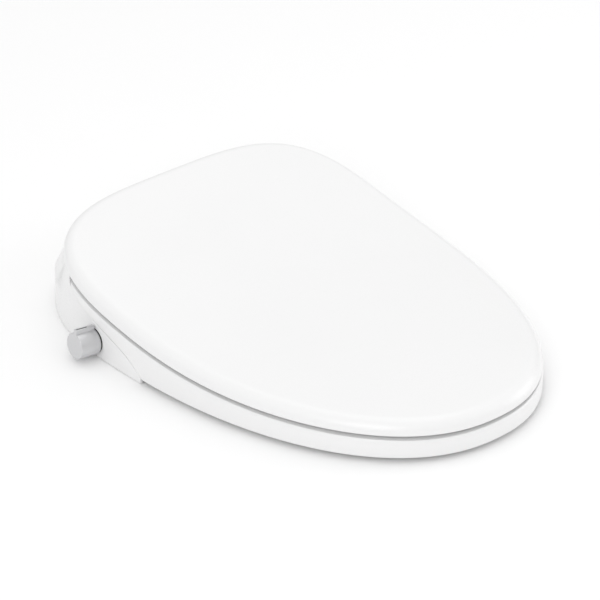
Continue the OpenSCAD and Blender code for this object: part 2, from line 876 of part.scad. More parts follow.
module internal_hoses() {
    color("white") {
        hose([[inlet_x, housing_rear_y - 14.4, inlet_z], [inlet_x + 2, 53, 21.5],
              [100, 51, 19], [105.5, 49, 18], [106, 44.4, 18]], hose_r);
        hose([[100.8, 30, 42], [97.5, 29, 43.5], [93.5, 26, 47], [87, 24, 49],
              [76, 23.5, 55], [69, 23, 53.5], [68, 23, 47.9]], hose_r);
        hose([[44, 23, 47.9], [43.5, 24, 52], [40, 32, 54.5], [30, 44, 53],
              [25, 47.5, 52.5], [22.4, 47.8, 52.4]], hose_r);
    }
}

// ======== electrics ========

board_z = pan_z + 1.3;

module control_board() {
    color("seagreen")
        difference() {
            block([-87, pan_y, board_z], [-30, 50, board_z + 1.6]);
            for (x = [-83, -34])
                for (y = [16, 46])
                    translate([x, y, board_z - 1])
                        cylinder(h = 5, r = 1.6);
        }
}

module board_components() {
    low = board_z + 1.7;
    color("dimgray") {
        block([-78, 18, low], [-66, 30, low + 2.4]);
        block([-60, 20, low], [-40, 26, low + 3.8]);
        block([-80, 36, low], [-62, 44, low + 3.6]);
        for (x = [-54, -46, -38])
            translate([x, 38, low])
                cylinder(h = 4.6, r = 3);
    }
}

module power_module() {
    color("silver")
        rounded_block([-86, 14, 16], [-34, 50, 42], 4);
}

gland_x = -64;
gland_z = 20;
gland_r = 7;

module power_cord_gland() {
    color("whitesmoke")
        translate([gland_x, housing_rear_y - 12, gland_z])
            rotate([-90, 0, 0])
                difference() {
                    union() {
                        cylinder(h = 12 + 6, r = gland_r);
                        cylinder(h = 4, r = gland_r + 3);
                    }
                    translate([0, 0, -1])
                        cylinder(h = 30, r = 3.4);
                }
}

// ======== spray wands ========

module nozzle_cradle() {
    color("whitesmoke")
        difference() {
            for (y = [-44, 14, 30])
                block([-26, y, 7.9],
                      [26, y + 4, barrel_mouth[1] + (y + 2 - barrel_mouth[0]) * tan(wand_slope)]);
            for (side = [-1, 1])
                at_barrel(side * wand_x)
                    translate([0, 0, -barrel_len])
                        cylinder(h = barrel_len + 2, r = barrel_r + part_gap);
        }
}

module barrel(x) {
    color("lightsteelblue")
        at_barrel(x)
            difference() {
                translate([0, 0, -barrel_len])
                    cylinder(h = barrel_len, r = barrel_r);
                translate([0, 0, -barrel_len + 3])
                    cylinder(h = barrel_len - 3 - bush_len, r = piston_r + running_gap);
                translate([0, 0, -bush_len - 1])
                    cylinder(h = bush_len + 2, r = wand_r + running_gap);
            }
}

module rear_wand_barrel() {
    barrel(-wand_x);
}

module front_wand_barrel() {
    barrel(wand_x);
}

piston_z = -barrel_len + 3.5;

module wand(x) {
    color("silver")
        at_barrel(x)
            difference() {
                union() {
                    translate([0, 0, piston_z])
                        cylinder(h = piston_len, r = piston_r);
                    translate([0, 0, piston_z + piston_len])
                        cylinder(h = rod_out - piston_z - piston_len, r = wand_r);
                }
                translate([0, 0, piston_z - 1])
                    cylinder(h = barrel_len + 20, r = wand_r - 2);
            }
}

module rear_wand() {
    wand(-wand_x);
}

module front_wand() {
    wand(wand_x);
}

module wand_tip(x, jets) {
    color("white")
        at_barrel(x)
            translate([0, 0, rod_out])
                difference() {
                    union() {
                        cylinder(h = tip_len - 3, r = tip_r);
                        translate([0, 0, tip_len - 3])
                            cylinder(h = 3, r1 = tip_r, r2 = tip_r - 2.5);
                    }
                    for (i = [0 : jets - 1])
                        translate([0, 0, 6 + 3 * i])
                            rotate([-90, 0, 0])
                                cylinder(h = 10, r = 0.6, $fn = 16);
                }
}

module rear_wand_tip() {
    wand_tip(-wand_x, 2);
}

module front_wand_tip() {
    wand_tip(wand_x, 3);
}

spring_r = (wand_r + piston_r) / 2;

module return_spring(x) {
    color("silver")
        at_barrel(x)
            coil_spring(piston_z + piston_len + 0.2, -bush_len - 0.2, spring_r, 0.7, 16);
}

module rear_return_spring() {
    return_spring(-wand_x);
}

module front_return_spring() {
    return_spring(wand_x);
}

// ======== release button ========

hook_x = 102;

module release_button() {
    color("lightgray")
        translate([0, button_y, button_z]) {
            along_x(button_back_x, button_face_x, button_r);
            along_x(hook_x - 4, button_back_x + 1, stem_r);
            block([hook_x - 4, -4, plate_t - 1.4 - button_z], [hook_x + 1, 4, 0]);
        }
}

module release_spring() {
    color("silver")
        translate([stem_rib_x + rib_t + 0.3, button_y, button_z])
            rotate([0, 90, 0])
                coil_spring(0, button_back_x - stem_rib_x - rib_t - 0.6, stem_r + 1.6, 0.6, 6);
}

// ======== fixings ========

screw_r = 2;
screw_places = [[-128, 14], [-128, 40], [128, 46], [-112, 56], [40, 58], [-24, 56]];

module case_screws() {
    color("silver")
        for (p = screw_places)
            translate([p[0], p[1], floor_z - 1]) {
                cylinder(h = 12, r = screw_r);
                cylinder(h = 0.9, r = screw_r * 2);
            }
}

module base_pads() {
    color("dimgray")
        for (side = [-1, 1])
            for (p = [[114, 2], [60, 58]])
                translate([side * p[0], p[1], 0])
                    cylinder(h = floor_z - 0.1, r = 6);
}

lid_shell();
lid_liner();
lid_hinge_arms();
lid_bumpers();
seat_top_shell();
seat_base_shell();
seat_heater_foil();
seat_hinge_arms();
seat_bumpers();
housing_wall();
top_cover();
base_plate();
nozzle_hood();
mounting_plate();
hinge_pins();
seat_hinge_bushes();
lid_hinge_bushes();
seat_damper();
lid_damper();
knob_seal();
control_knob();
knob_spindle();
control_valve();
inlet_connector();
inlet_solenoid();
water_heater();
water_manifold();
internal_hoses();
control_board();
board_components();
power_module();
power_cord_gland();
nozzle_cradle();
rear_wand_barrel();
front_wand_barrel();
rear_wand();
front_wand();
rear_wand_tip();
front_wand_tip();
rear_return_spring();
front_return_spring();
release_button();
release_spring();
case_screws();
base_pads();
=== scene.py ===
"""Electric bidet seat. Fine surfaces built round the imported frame.

Blender 4.5. The frame is in metres: front of the seat towards -Y, +Z up, origin between the
bolt slots on the bowl rim. Shapes are worked out here in millimetres and scaled at the end.
"""
import json
import math

import bmesh
import bpy
from mathutils import Matrix, Vector


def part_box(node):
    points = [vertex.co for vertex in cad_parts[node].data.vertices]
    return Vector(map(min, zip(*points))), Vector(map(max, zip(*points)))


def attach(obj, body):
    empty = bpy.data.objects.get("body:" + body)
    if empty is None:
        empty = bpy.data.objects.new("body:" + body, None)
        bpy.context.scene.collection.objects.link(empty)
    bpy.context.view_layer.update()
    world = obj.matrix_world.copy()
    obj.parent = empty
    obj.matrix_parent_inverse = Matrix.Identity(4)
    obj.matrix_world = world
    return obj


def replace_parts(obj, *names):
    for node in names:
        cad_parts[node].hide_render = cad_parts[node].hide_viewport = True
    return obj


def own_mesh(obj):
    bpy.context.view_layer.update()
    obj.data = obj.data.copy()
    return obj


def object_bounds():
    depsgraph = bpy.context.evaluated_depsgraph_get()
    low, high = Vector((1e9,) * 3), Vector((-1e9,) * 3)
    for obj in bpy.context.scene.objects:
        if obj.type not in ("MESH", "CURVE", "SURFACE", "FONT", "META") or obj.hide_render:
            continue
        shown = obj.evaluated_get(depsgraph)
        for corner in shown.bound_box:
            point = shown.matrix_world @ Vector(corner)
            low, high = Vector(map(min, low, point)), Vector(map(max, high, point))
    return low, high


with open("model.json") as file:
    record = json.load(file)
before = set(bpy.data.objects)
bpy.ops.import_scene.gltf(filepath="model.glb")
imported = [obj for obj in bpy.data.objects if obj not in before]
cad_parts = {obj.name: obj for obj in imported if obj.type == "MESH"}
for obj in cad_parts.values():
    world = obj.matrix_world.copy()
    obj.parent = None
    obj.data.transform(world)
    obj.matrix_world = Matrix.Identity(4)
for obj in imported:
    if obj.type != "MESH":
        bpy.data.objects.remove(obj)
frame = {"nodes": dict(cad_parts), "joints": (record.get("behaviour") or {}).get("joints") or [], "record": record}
start_low, start_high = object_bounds()

MM = 0.001


# ---------------------------------------------------------------- sizes from the frame
def box_mm(node):
    low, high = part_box(node)
    return Vector(low) / MM, Vector(high) / MM


joints = {j["name"]: j for j in frame["joints"]}
lid_low, lid_high = box_mm("lid_shell")

LID_FRONT, LID_REAR = lid_low.y, lid_high.y
LID_LEN = LID_REAR - LID_FRONT
HALF_W = (lid_high.x - lid_low.x) / 2
HOUSING_REAR = box_mm("housing_wall")[1].y
KNOB = Vector(joints["knob_turn"]["pos_m"]) / MM
KNOB_AXIS = Vector(joints["knob_turn"]["axis"]).normalized()

EDGE_R = 14.4                 # radius of the lid's rolled edge
CROWN = 3.0                   # rise of the lid's middle over its edge
SIDE_TOP = 73.0               # the lid's lower edge stays under this at the sides
LID_WALL = 3.0
RING_WALL = 3.0
RING_LIFT = 5.5               # underside of the ring above the rim
RING_BACK = 73.0              # width of the ring behind its opening
SEAM = 2.0                    # seam between lid, ring and housing
PART_GAP = 0.4                # between a shell and the part inside it
HOUSING_WALL = 3.0
WALL_H = 37.5                 # height of the housing's upright side
OPENING_LEN, OPENING_HALF_W = 300.0, 106.0

# Half lengths (B) and powers (N) of the superellipses, in front of and behind the widest line.
FRONT_B = 0.6544 * LID_LEN
REAR_B = LID_LEN - FRONT_B
WIDE_Y = LID_FRONT + FRONT_B
FRONT_N, REAR_N = 2.2, 3.6
HOUSING_B, HOUSING_N = REAR_B * 1.27, 2.8
OPENING_N = 2.15

WING_START = LID_REAR - 70    # the wings reach forward from here, beside the ring
WING_TIP = LID_REAR - 197
SEAT_REAR = WING_START - SEAM
OPENING_Y = SEAT_REAR - RING_BACK - OPENING_LEN / 2
LEDGE_HALF_X = 128.0          # the shoulder steps down to the hinge ledge here
SHOULDER_LOW = WALL_H + 5
CHEEK_END = WING_START + 8    # the wings' solid cheeks fade out behind here


# ---------------------------------------------------------------- curves
def clamp01(v):
    return max(0.0, min(1.0, v))


def smooth(v):
    v = clamp01(v)
    return v * v * (3 - 2 * v)


def smooth_min(a, b, k):
    """The smaller of a and b, with the change between them rounded over about k."""
    return min(a, b) - k * math.log(1 + math.exp(-abs(a - b) / k))


def ease(v, p):
    """0 to 1 as v goes from 0 to 1, slower at both ends the larger p is."""
    return v ** p / (v ** p + (1 - v) ** p)


def power(base, exponent):
    """A power whose base can be a little below zero from rounding."""
    return max(base, 0.0) ** exponent


def outline_point(phi, inset, rear):
    """A point of the lid's outline, phi degrees from the widest line, moved in by inset."""
    n, b, sign = (REAR_N, REAR_B, 1) if rear else (FRONT_N, FRONT_B, -1)
    c, s = math.cos(math.radians(phi)), math.sin(math.radians(phi))
    x, y = HALF_W * power(c, 2 / n), b * power(s, 2 / n)
    g = Vector((power(x / HALF_W, n - 1) / HALF_W, sign * power(y / b, n - 1) / b)).normalized()
    return Vector((x, WIDE_Y + sign * y)) - inset * g


def mirrored(half):
    """The closed outline from its half with x above zero, both ends on the middle line."""
    return half + [Vector((-p.x, p.y)) for p in half[-2:0:-1]]


def lid_outline(inset):
    """The lid's outline from the front, moved in by inset, closer spaced where it bends."""
    steps = 90
    half = [outline_point(90 * ease(1 - i / steps, 1.1), inset, False) for i in range(steps)]
    half += [outline_point(90 * ease(i / steps, 1.8), inset, True) for i in range(steps + 1)]
    return mirrored(half)


def shrunk(outline, k):
    """The outline scaled by k about a point near the lid's middle."""
    centre = Vector((0, WIDE_Y - 0.15 * LID_LEN))
    return [centre + k * (p - centre) for p in outline]


def edge_curve(y):
    """Height of the lid's lower edge, s being 0 at its front and 1 at its rear."""
    s = (y - LID_FRONT) / LID_LEN
    return 29.2 + 10.8 * s - 29.1 * s ** 2 + 82.5 * s ** 3


def side_edge(y):
    return smooth_min(edge_curve(y), SIDE_TOP, 1.5)


def skirt_low(p):
    """Height of the lid's bottom edge: the side edge, rising to the edge curve at the rear."""
    across = smooth((0.83 - abs(p.x) / HALF_W) / 0.2) * smooth((p.y - WIDE_Y) / REAR_B)
    return side_edge(p.y) + (edge_curve(p.y) - side_edge(p.y)) * across


def on_lid(outline, drop, crown=0.0, k=1.0):
    """The outline at drop under the lid's top, raised as the crown is at scale k."""
    return [Vector((p.x, p.y, edge_curve(p.y) + EDGE_R - drop + crown * (1 - k * k)))
            for p in outline]


def crowned(outline, drop, scales):
    """Rings of the lid's crowned face, one for each scale of the outline."""
    return [on_lid(shrunk(outline, k), drop, CROWN, k) for k in scales]


def on_skirt(outline, up):
    return [Vector((p.x, p.y, skirt_low(p) + up)) for p in outline]


# ---------------------------------------------------------------- mesh helpers
SHARP = 35                    # degrees from which an edge stays sharp


def placed(name, data):
    """A new object in the scene."""
    obj = bpy.data.objects.new(name, data)
    bpy.context.collection.objects.link(obj)
    return obj


def skin(rings, ends="fan", second_from=None):
    """A new bmesh of quads through closed rings of points; ends: fan, joined or flat. Faces
    from ring second_from on take the second material."""
    bm = bmesh.new()
    loops = [[bm.verts.new(p) for p in ring] for ring in rings]
    n = len(loops[0])
    pairs = list(zip(loops, loops[1:]))
    if ends == "joined":
        pairs.append((loops[-1], loops[0]))
    for k, (a, b) in enumerate(pairs):
        second = second_from is not None and k >= second_from
        for i in range(n):
            j = (i + 1) % n
            bm.faces.new((a[i], a[j], b[j], b[i])).material_index = int(second)
    if ends == "fan":
        for loop, flip in ((loops[0], True), (loops[-1], False)):
            middle = bm.verts.new(sum((v.co for v in loop), Vector()) / n)
            for i in range(n):
                a, b = loop[i], loop[(i + 1) % n]
                face = bm.faces.new((b, a, middle) if flip else (a, b, middle))
                face.material_index = int(second_from is not None and not flip)
    elif ends == "flat":
        bm.faces.new(loops[0][::-1])
        bm.faces.new(loops[-1])
    return bm


def in_metres(name, bm):
    """An object with the bmesh, its normals outward, scaled from millimetres."""
    bmesh.ops.recalc_face_normals(bm, faces=bm.faces)
    bmesh.ops.scale(bm, vec=(MM, MM, MM), verts=bm.verts)
    mesh = bpy.data.meshes.new(name)
    bm.to_mesh(mesh)
    bm.free()
    return placed(name, mesh)


def shade(mesh, angle):
    """Smooth shading, with edges sharper than the angle in degrees kept sharp."""
    for poly in mesh.polygons:
        poly.use_smooth = True
    mesh.set_sharp_from_angle(angle=math.radians(angle))


def piece(name, bm, body, material, *nodes, angle=SHARP, slot=None):
    """Finishes a mesh as a piece of the body that stands for the CAD nodes."""
    bmesh.ops.remove_doubles(bm, verts=bm.verts, dist=1e-4)
    bmesh.ops.dissolve_degenerate(bm, edges=bm.edges, dist=1e-5)
    obj = in_metres(name, bm)
    obj.data.materials.append(material)
    shade(obj.data, angle)
    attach(obj, body)
    if nodes:
        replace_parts(obj, *nodes)
    return obj


def cut(obj, *cutters):
    """Cuts each bmesh, in millimetres, out of obj for good."""
    for bm in cutters:
        tool = in_metres("cutter", bm)
        modifier = obj.modifiers.new("cut", "BOOLEAN")
        modifier.operation, modifier.solver, modifier.object = "DIFFERENCE", "EXACT", tool
        settled = bpy.data.meshes.new_from_object(
            obj.evaluated_get(bpy.context.evaluated_depsgraph_get()))
        obj.modifiers.clear()
        obj.data = settled
        bpy.data.objects.remove(tool)
    shade(obj.data, SHARP)


def rod(start, end, radius):
    """A cylinder between two points, as a new bmesh."""
    bm = bmesh.new()
    axis = (end - start).normalized()
    turn = axis.to_track_quat("Z", "Y").to_matrix().to_4x4()
    place = Matrix.Translation((start + end) / 2) @ turn
    bmesh.ops.create_cone(bm, cap_ends=True, segments=72, radius1=radius, radius2=radius,
                          depth=(end - start).length, matrix=place)
    return bm


# ---------------------------------------------------------------- materials
def new_material(name):
    mat = bpy.data.materials.new(name)
    mat.use_nodes = True
    nodes = mat.node_tree.nodes
    return mat, nodes, mat.node_tree.links, nodes["Principled BSDF"]


def with_inputs(node, values):
    """Sets a node's sockets by name and gives the node back."""
    for socket, value in values.items():
        node.inputs[socket].default_value = value
    return node


def noise(nodes, links, coords, scale, detail=3.0, rough=0.5):
    node = with_inputs(nodes.new("ShaderNodeTexNoise"),
                       {"Scale": scale, "Detail": detail, "Roughness": rough})
    links.new(coords, node.inputs["Vector"])
    return node.outputs["Fac"]


def ranged(nodes, links, value, low, high):
    """The middle of a noise's values, spread from low to high."""
    node = with_inputs(nodes.new("ShaderNodeMapRange"),
                       {"From Min": 0.3, "From Max": 0.7, "To Min": low, "To Max": high})
    links.new(value, node.inputs["Value"])
    return node.outputs["Result"]


def tinted(nodes, links, value, dark, light):
    node = nodes.new("ShaderNodeMix")
    node.data_type = "RGBA"
    with_inputs(node, {"A": (*dark, 1), "B": (*light, 1)})
    links.new(value, node.inputs["Factor"])
    return node.outputs["Result"]


def bumped(nodes, links, value, strength, distance, under=None):
    """The normal of a bump, over another bump's normal if there is one."""
    node = with_inputs(nodes.new("ShaderNodeBump"),
                       {"Strength": strength, "Distance": distance})
    links.new(value, node.inputs["Height"])
    if under:
        links.new(under, node.inputs["Normal"])
    return node.outputs["Normal"]


FLOW_SCALE, WAVE_SCALE = 9.0, 60.0            # per metre
WAVE_DEPTH, GRAIN_DEPTH, LINE_DEPTH = 0.0004, 0.00006, 0.00004      # metres


def moulded(name, colour, rough, grain=1100.0, bump=0.02, metal=0.0, spread=0.012, coat=0.0):
    """A moulded or cast surface: faint flow tint, fine grain and slow surface waves."""
    mat, nodes, links, shader = new_material(name)
    coords = nodes.new("ShaderNodeTexCoord").outputs["Object"]
    flow = noise(nodes, links, coords, FLOW_SCALE, 4.0)
    fine = noise(nodes, links, coords, grain, 2.0, 0.6)
    wave = noise(nodes, links, coords, WAVE_SCALE, 2.0)
    dark = tuple(max(c - spread, 0.0) for c in colour)
    light = tuple(min(c + spread, 1.0) for c in colour)
    links.new(tinted(nodes, links, flow, dark, light), shader.inputs["Base Color"])
    links.new(ranged(nodes, links, fine, rough * 0.9, rough * 1.12), shader.inputs["Roughness"])
    with_inputs(shader, {"Metallic": metal, "Coat Weight": coat, "Coat Roughness": 0.25})
    slow = bumped(nodes, links, wave, bump, WAVE_DEPTH)
    sharp = bumped(nodes, links, fine, bump * 2, GRAIN_DEPTH, under=slow)
    links.new(sharp, shader.inputs["Normal"])
    return mat


def brushed(name, colour, rough):
    """Turned or drawn metal: fine lines round and along it."""
    mat, nodes, links, shader = new_material(name)
    coords = nodes.new("ShaderNodeTexCoord").outputs["Object"]
    stretch = with_inputs(nodes.new("ShaderNodeMapping"), {"Scale": (40.0, 1500.0, 1500.0)})
    links.new(coords, stretch.inputs["Vector"])
    lines = noise(nodes, links, stretch.outputs["Vector"], 1.0, 3.0)
    tone = noise(nodes, links, coords, 30.0, 3.0)
    dark = tuple(c * 0.92 for c in colour)
    links.new(tinted(nodes, links, tone, dark, colour), shader.inputs["Base Color"])
    links.new(ranged(nodes, links, lines, rough * 0.8, rough * 1.25), shader.inputs["Roughness"])
    with_inputs(shader, {"Metallic": 1.0})
    links.new(bumped(nodes, links, lines, 0.08, LINE_DEPTH), shader.inputs["Normal"])
    return mat


WHITE = (0.87, 0.87, 0.87)
MATERIALS = {
    "shell": moulded("shell_white", WHITE, 0.30, coat=0.25),
    # painted shade: a mid grey for the lid's inner skirt and underside, which are white on the real lid, to darken
    # the seam between lid and ring
    "inside": moulded("lid_underside_painted_shade", (0.50, 0.50, 0.50), 0.6),
    "liner": moulded("liner_white", (0.83, 0.83, 0.825), 0.38),
    "plate": moulded("plate_grain", (0.74, 0.74, 0.73), 0.55, grain=1800, bump=0.1),
    "knob": moulded("knob_silver", (0.64, 0.64, 0.65), 0.34, metal=0.6, grain=2400),
    "stop": moulded("soft_stop", (0.66, 0.66, 0.64), 0.6, grain=2200, bump=0.1),
    "seal": moulded("seal_rubber", (0.022, 0.022, 0.024), 0.6, grain=2000, bump=0.1, spread=0.006),
    "pad": moulded("pad_rubber", (0.05, 0.05, 0.05), 0.7, grain=2000, bump=0.15),
    "fitting": moulded("fitting_blue", (0.30, 0.38, 0.45), 0.42),
    "bush": moulded("bush_acetal", (0.70, 0.70, 0.67), 0.4),
    "damper": moulded("damper_nylon", (0.03, 0.03, 0.033), 0.45, spread=0.006),
    "board": moulded("board_green", (0.02, 0.16, 0.06), 0.35, spread=0.01),
    "chip": moulded("chip_epoxy", (0.02, 0.02, 0.022), 0.5, spread=0.005),
    "hose": moulded("hose_silicone", (0.72, 0.72, 0.69), 0.35),
    "steel": brushed("turned_steel", (0.56, 0.56, 0.57), 0.28),
    "brass": brushed("plated_brass", (0.62, 0.61, 0.58), 0.22),
    "heater": brushed("cast_aluminium", (0.60, 0.60, 0.61), 0.42),
    "power": brushed("plated_can", (0.55, 0.56, 0.57), 0.4),
    "foil": brushed("heating_foil", (0.70, 0.36, 0.16), 0.3),
}

for part in frame["record"]["subparts"]:
    carried = frame["nodes"][part["node"]]
    carried.data.materials.clear()
    carried.data.materials.append(MATERIALS[part["material_slot"]])

# ---------------------------------------------------------------- lid
rings = crowned(lid_outline(EDGE_R), 0,
                (0.04, 0.12, 0.2, 0.3, 0.4, 0.5, 0.6, 0.7, 0.78, 0.85, 0.91, 0.96))
for degrees in range(0, 85, 6):
    a = math.radians(degrees)
    rings.append(on_lid(lid_outline(EDGE_R * (1 - math.sin(a))), EDGE_R * (1 - math.cos(a))))
for inset, up in ((0, 0.8), (0.12, 0.3), (0.5, 0), (LID_WALL - 0.5, 0), (LID_WALL, 0.5)):
    rings.append(on_skirt(lid_outline(inset), up))
outside = len(rings) - 2          # bands of faces on the lid's outside and bottom edge
for inset, drop in ((LID_WALL + 1, 10.6), (6, 7.2), (9, 5.2)):
    rings.append(on_lid(lid_outline(inset), drop))
rings += crowned(lid_outline(EDGE_R + 1), LID_WALL, (1, 0.9, 0.7, 0.5, 0.3, 0.1))
lid = piece("lid_surface", skin(rings, second_from=outside), "lid", MATERIALS["shell"],
            "lid_shell", slot="shell")
# the lid's inner skirt and underside, from the outside bands on, take the painted shade grey that darkens the seam
# under the lid
lid.data.materials.append(MATERIALS["inside"])

LINER_INSET = EDGE_R + 2
LINER_TOP = LID_WALL + PART_GAP
LINER_LOW = LINER_TOP + 2.4
inner = lid_outline(LINER_INSET)
rings = crowned(inner, LINER_TOP, (0.1, 0.3, 0.5, 0.7, 0.9, 1))
rings.append(on_lid(inner, LINER_LOW - 0.5))
rings.append(on_lid(lid_outline(LINER_INSET + 0.6), LINER_LOW))
rings += crowned(inner, LINER_LOW, (0.95, 0.8, 0.6, 0.4, 0.2, 0.05))
piece("lid_underside", skin(rings), "lid", MATERIALS["liner"], "lid_liner", slot="liner")


# ---------------------------------------------------------------- seat ring
def seam_t(y):
    """0 where the wings start, 1 at their tips."""
    return clamp01((WING_START - y) / (WING_START - WING_TIP))


def wing_top(y):
    """Height of the wings' tops, falling to their tips and flared up where they start."""
    t = seam_t(y)
    return RING_LIFT + 49.5 - 40 * t - 11.5 * t ** 10 + 5 * math.exp(-t / 0.04)


def ring_low(y):
    return RING_LIFT if seam_t(y) >= 1 else wing_top(y) + SEAM


def ring_high(y):
    return side_edge(y) - SEAM


def opening_r(u):
    """Distance from the opening's centre to its edge, along the unit vector u."""
    return (power(abs(u.x) / OPENING_HALF_W, OPENING_N)
            + power(abs(u.y) / (OPENING_LEN / 2), OPENING_N)) ** (-1 / OPENING_N)


seat_outline = [Vector((p.x, smooth_min(p.y, SEAT_REAR, 2.5))) for p in lid_outline(-0.5)]
opening_centre = Vector((0, OPENING_Y))


def ring_point(outer, w, d):
    """The share w of the way from the outer point to the opening's edge, then d inward."""
    u = (outer - opening_centre).normalized()
    inner_edge = opening_centre + opening_r(u) * u
    return outer + w * (inner_edge - outer) - d * u


def ring_sections(shape):
    """A section of the ring at each outline point. The shape's rows are the share across, mm
    inward, the surface measured from, mm above it and the least height above the low one."""
    sections = []
    for outer in seat_outline:
        section = []
        for w, d, base, up, least in shape:
            p = ring_point(outer, w, d)
            low, high = ring_low(p.y), ring_high(p.y)
            z = low + up if base == "low" else max(low + least, high + up)
            section.append(Vector((p.x, p.y, z)))
        sections.append(section)
    return sections


def rounded(points, first, last, steps):
    """Catmull-Rom points between points[first] and points[last]; the rest stay as they are."""
    out = list(points[:first])
    for i in range(first, last):
        p0, p1, p2 = points[max(i - 1, first)], points[i], points[i + 1]
        p3 = points[min(i + 2, last)]
        for k in range(steps):
            t = k / steps
            out.append(0.5 * (2 * p1 + (p2 - p0) * t + (2 * p0 - 5 * p1 + 4 * p2 - p3) * t * t
                              + (3 * p1 - p0 - 3 * p2 + p3) * t ** 3))
    return out + list(points[last:])


wall = RING_WALL
ring_shape = [
    (0, 0.6, "low", 0, 0), (0, 0, "low", 0.6, 0), (0, 0, "high", -6, 3),
    (0, 1.2, "high", -3.2, 5.4), (0, 4, "high", -2.4, 6), (0.25, 0, "high", 1.6, 9),
    (0.6, 0, "high", 1.6, 9), (0.86, 0, "high", -2.6, 8), (0.97, 0, "high", -8, 6),
    (1, 0, "low", 2, 2),
    (1, -0.6, "low", 0, 0), (1, -wall, "low", 0, 0), (1, -wall, "low", 3.2, 0),
    (0.96, -wall, "high", -9 - wall, 5), (0.84, 0, "high", -2.8 - wall, 5),
    (0.6, 0, "high", 1.6 - wall, 6), (0.25, 0, "high", 2.4 - wall, 6),
    (0, 6, "high", -0.6 - wall, 5), (0, wall, "high", -7, 3), (0, wall, "low", 0, 0),
]
TOP_FIRST, TOP_LAST = 2, 9    # rows of the ring's outside and top, which are rounded
sections = [rounded(s, TOP_FIRST, TOP_LAST, 4) for s in ring_sections(ring_shape)]
piece("ring_surface", skin(sections, "joined"), "seat", MATERIALS["shell"], "seat_top_shell",
      slot="shell")

edge = RING_WALL + PART_GAP
across = [(0, edge)] + [(0.1 * i, 0) for i in range(1, 10)] + [(1, -edge)]
base_shape = [(w, d, "low", 2.4, 0) for w, d in across]
base_shape += [(w, d, "low", 0.4, 0) for w, d in reversed(across)]
piece("ring_underside", skin(ring_sections(base_shape), "joined"), "seat", MATERIALS["liner"],
      "seat_base_shell", slot="liner")


# ---------------------------------------------------------------- housing
def housing_x(y):
    b, n = (FRONT_B, FRONT_N) if y < WIDE_Y else (HOUSING_B, HOUSING_N)
    return HALF_W * power(1 - power(abs(y - WIDE_Y) / b, n), 1 / n)


def housing_y(x):
    arc = WIDE_Y + HOUSING_B * power(1 - power(x / HALF_W, HOUSING_N), 1 / HOUSING_N)
    return smooth_min(arc, HOUSING_REAR, 4)


def housing_path():
    """Points round the housing from one wing's tip to the other's."""
    wing, side, rear = 60, 36, 40        # steps along each stretch
    side_end = LID_REAR - 10             # the rear corner is stepped in x from here
    step_up = 0.4                        # run in which the wall rises above the wing
    ys = [WING_TIP + 1 + (WING_START - WING_TIP - 1.05) * i / wing for i in range(wing + 1)]
    ys += [WING_START + step_up + (side_end - WING_START - step_up) * i / side
           for i in range(side + 1)]
    half = [Vector((housing_x(y), y)) for y in ys]
    corner = housing_x(side_end)
    xs = [corner * (1 - i / rear) for i in range(1, rear + 1)]
    half += [Vector((x, housing_y(x))) for x in xs]
    return half + [Vector((-p.x, p.y)) for p in half[-2::-1]]


def cheek(y, reach):
    """1 in the wings and their cheeks, falling to 0 over reach behind them."""
    return 1 - smooth((y - CHEEK_END) / reach)


def wing_depth(y):
    """Thickness of a wing from its outside inward, least at its tip."""
    return 8 + 34 * smooth((y - WING_TIP) / 90)


def housing_section(path, i):
    """The wall's section at a path point: up its outside, over its top and down its inside."""
    p = path[i]
    t = (path[min(i + 1, len(path) - 1)] - path[max(i - 1, 0)]).normalized()
    turn = 0.05 + 0.95 * smooth((p.y - WING_START) / 30)    # nearly along x in the wings
    inward = Vector((-t.y, turn * t.x)).normalized()
    wing, wall = p.y < WING_START, HOUSING_WALL
    deck = side_edge(p.y) - 1.2 - 12 * smooth((p.y - WING_START - 25) / 25)
    shoulder = deck - (deck - SHOULDER_LOW) * smooth((LEDGE_HALF_X + 14 - abs(p.x)) / 12)
    top = wing_top(p.y) if wing else shoulder
    knee = min(WALL_H, top - wall - 0.6)         # the side leans in above this
    edge = 0.4 if wing else 1 + 9 * smooth((p.y - WING_START) / 45)
    roof = 2 * wall + (wing_depth(p.y) - 2 * wall) * cheek(p.y, 25)
    foot = 0 if wing else top - wall - 0.5 - (top - wall - 5.2) * cheek(p.y, 12)
    lean = edge / max(top - knee, 1)
    r = 1.0                                      # rounding of the outer top edge
    shape = [(0, 0.5), (0, max(knee - 2, 0.6)), (0.05, knee), (0.4 * lean, knee + 1.2),
             (edge - r * lean, top - r), (edge + 0.3 * r, top - 0.3 * r), (edge + r, top),
             (edge + roof - 0.5, top), (edge + roof, top - 0.5), (edge + roof, foot),
             (edge + roof - wall, foot), (edge + roof - wall, top - wall),
             (edge + wall, top - wall), (wall, knee), (wall, 0), (0.5, 0)]
    return [Vector((p.x + d * inward.x, p.y + d * inward.y, z)) for d, z in shape]


path = housing_path()
sections = [housing_section(path, i) for i in range(len(path))]
housing = piece("housing_surface", skin(sections, "flat"), "base", MATERIALS["shell"],
                "housing_wall", slot="shell")

KNOB_R, KNOB_LEN, KNOB_GAP = 14.0, 25.0, 1.2
SPINDLE_HOLE_R, INLET_HOLE_R, GLAND_HOLE_R = 6.0, 9.65, 7.4


def along_knob(start, end, radius):
    """A rod on the knob's axis, start and end measured outward from the joint."""
    return rod(KNOB + start * KNOB_AXIS, KNOB + end * KNOB_AXIS, radius)


def button_hole():
    """A rod through the side wall round the button's cap."""
    low, high = box_mm("release_button")
    radius = (high.y - low.y) / 2
    y, z = (low.y + high.y) / 2, high.z - radius
    inner_x, outer_x = high.x - 24, high.x + 10
    return rod(Vector((inner_x, y, z)), Vector((outer_x, y, z)), radius + PART_GAP)


def rear_hole(node, radius):
    """A rod through the rear wall, centred on a fitting's box."""
    low, high = box_mm(node)
    x, z = (low.x + high.x) / 2, (low.z + high.z) / 2
    inner_y, outer_y = HOUSING_REAR - 12, HOUSING_REAR + 8
    return rod(Vector((x, inner_y, z)), Vector((x, outer_y, z)), radius)


